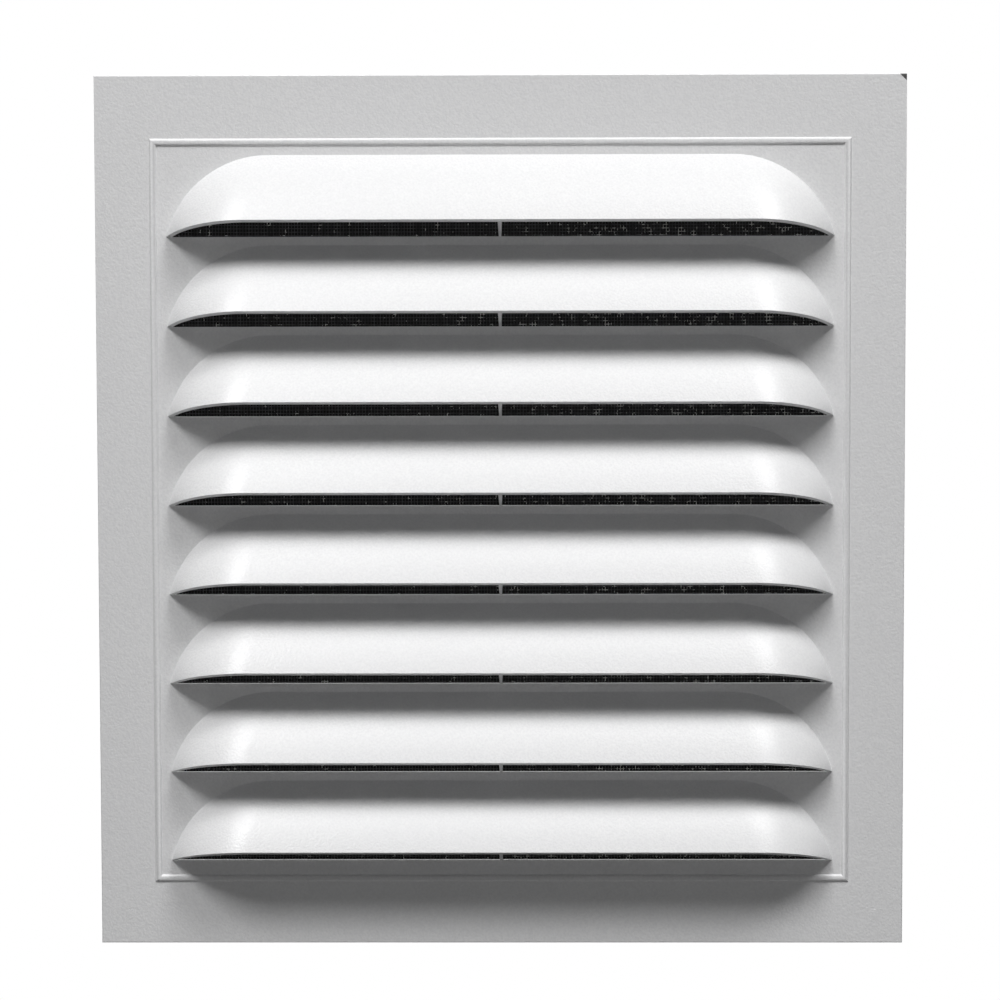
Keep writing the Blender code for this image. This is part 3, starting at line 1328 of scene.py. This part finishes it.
@dataclass(frozen=True)
class Softbox:
    """One soft lamp aimed at the middle of the vent, in degrees, metres and watts."""

    name: str
    azimuth: float
    elevation: float
    distance: float
    width: float
    height: float
    power: float

    def build(self) -> None:
        """Hangs the lamp. Azimuth 0 is in front of the louvres, 90 at the right."""
        lamp = bpy.data.lights.new(self.name, "AREA")
        lamp.shape = "RECTANGLE"
        lamp.size = self.width
        lamp.size_y = self.height
        lamp.energy = self.power
        stand = bpy.data.objects.new(self.name, lamp)
        turn, lift = math.radians(self.azimuth), math.radians(self.elevation)
        place = self.distance * Vector((
            math.cos(lift) * math.sin(turn),
            -math.cos(lift) * math.cos(turn),
            math.sin(lift),
        ))
        stand.location = place
        stand.rotation_euler = place.to_track_quat("Z", "Y").to_euler()
        bpy.context.collection.objects.link(stand)


@dataclass
class Studio:
    """The pale floor, the painted shade behind the slots, the lamps, the world and the camera.
    """

    collar_depth: float
    # A black sheet that only the camera sees: painted shade behind the slots.
    painted_shade_half_width: float = 0.1600
    painted_shade_half_height: float = 0.1710
    painted_shade_gap: float = 0.0005
    painted_shade_black: str = "0B0B0B"
    painted_shade_roughness: float = 0.95
    floor_height: float = -0.60
    floor_size: float = 12.0
    fill: float = 0.03
    lamps: tuple[Softbox, ...] = (
        Softbox("left_key", -31, 52, 4.2, 1.05, 1.05, 90.0),
        Softbox("right_key", 40, 57, 3.4, 0.95, 0.95, 49.5),
        Softbox("top", 0, 66, 3.5, 0.80, 0.80, 7.5),
        Softbox("front", 0, 37, 3.0, 1.5, 0.5, 1.6),
        Softbox("back", 180, 45, 3.0, 1.2, 1.2, 22.0),
    )
    camera_place: Point = (0.015733, -1.472729, 0.098629)
    camera_turn: Point = (86.3858, 0.1243, 0.6170)
    camera_lens: float = 114.1275
    sensor: float = 36.0
    farthest_seen: float = 50.0

    def build_floor(self) -> None:
        """Lays the floor under the vent, out of the photograph's view."""
        bpy.ops.object.select_all(action="DESELECT")
        bpy.ops.mesh.primitive_plane_add(
            size=self.floor_size,
            location=(0, 0, self.floor_height),
        )
        floor = settled("floor")
        floor.data.materials.append(StudioBoard().build())
        floor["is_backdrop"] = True

    def build_painted_shade(self) -> None:
        """Stands a black sheet behind the collar as painted shade, so that the slots look into
        the dark.
        """
        painted_shade = panel(
            "painted_shade_sheet",
            self.painted_shade_half_width,
            self.painted_shade_half_height,
            self.collar_depth + self.painted_shade_gap,
        )
        painted_shade.data.materials.append(self.painted_shade_material())
        painted_shade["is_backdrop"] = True

    def painted_shade_material(self) -> bpy.types.Material:
        """Builds the painted shade: black to the camera from the front, clear to every other
        ray, so that it shades nothing and hides nothing behind.

        Returns:
            The material.
        """
        material, tree = blank_material("painted_shade_behind_slots")
        # Painted shade: camera rays that meet the front see black, and every other ray passes
        # through.
        seen = add_node(tree, "ShaderNodeMath", {"operation": "SUBTRACT", "use_clamp": True}, {
            0: add_node(tree, "ShaderNodeLightPath").outputs["Is Camera Ray"],
            1: add_node(tree, "ShaderNodeNewGeometry").outputs["Backfacing"],
        })
        shade_surface = add_node(tree, "ShaderNodeBsdfPrincipled", None, {
            "Base Color": linear(self.painted_shade_black),
            "Roughness": self.painted_shade_roughness,
        })
        clear = add_node(tree, "ShaderNodeBsdfTransparent")
        mixed = add_node(tree, "ShaderNodeMixShader", None, {
            0: seen.outputs[0],
            1: clear.outputs[0],
            2: shade_surface.outputs[0],
        })
        add_node(tree, "ShaderNodeOutputMaterial", None, {"Surface": mixed.outputs[0]})
        return material

    def build_world(self) -> None:
        """Makes the backdrop white, with a weak even fill on the vent."""
        world = bpy.data.worlds.new("studio")
        world.use_nodes = True
        tree = world.node_tree
        tree.nodes.clear()
        fill = add_node(tree, "ShaderNodeBackground", None, {
            "Color": (1, 1, 1, 1),
            "Strength": self.fill,
        })
        white = add_node(tree, "ShaderNodeBackground", None, {
            "Color": (1, 1, 1, 1),
            "Strength": 1.0,
        })
        mixed = add_node(tree, "ShaderNodeMixShader", None, {
            0: seen_directly(tree),
            1: fill.outputs[0],
            2: white.outputs[0],
        })
        add_node(tree, "ShaderNodeOutputWorld", None, {"Surface": mixed.outputs[0]})
        bpy.context.scene.world = world

    def build_camera(self) -> None:
        """Puts the camera where the photograph was taken from."""
        lens = bpy.data.cameras.new("photograph")
        lens.sensor_width = self.sensor
        lens.lens = self.camera_lens
        lens.clip_end = self.farthest_seen
        camera = bpy.data.objects.new("photograph", lens)
        camera.location = self.camera_place
        camera.rotation_euler = [math.radians(turn) for turn in self.camera_turn]
        bpy.context.collection.objects.link(camera)
        bpy.context.scene.camera = camera

    def build(self) -> None:
        """Sets up the whole studio."""
        self.build_floor()
        self.build_painted_shade()
        self.build_world()
        for lamp in self.lamps:
            lamp.build()
        self.build_camera()
        bpy.context.scene.view_settings.view_transform = "Standard"


def measured_box() -> list[list[float]]:
    """Returns the shown object's lowest and highest corners as plain lists."""
    bpy.context.view_layer.update()
    return [[round(value, 6) for value in corner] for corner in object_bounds()]


def main() -> None:
    """Builds and dresses the vent, then sets up the studio."""
    logging.basicConfig(level=logging.INFO, format="%(message)s")
    before = measured_box()
    screen_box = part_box("insect_screen")
    body_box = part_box("vent_body")

    moulding = VentMoulding(*body_box, screen_back=screen_box[0].y + SCREEN_THICKNESS)
    body = moulding.build()
    moulding.dress(body)
    log.info("%s: %d faces", body.name, len(body.data.polygons))

    screen = InsectScreen(*screen_box)
    layers = screen.build()
    screen.dress(layers)
    for layer in layers:
        log.info("%s: %d faces", layer.name, len(layer.data.polygons))

    Studio(body_box[1].y).build()
    after = measured_box()
    log.info("box of the packed model %s, of the dressed model %s", before, after)


if __name__ == "__main__":
    main()
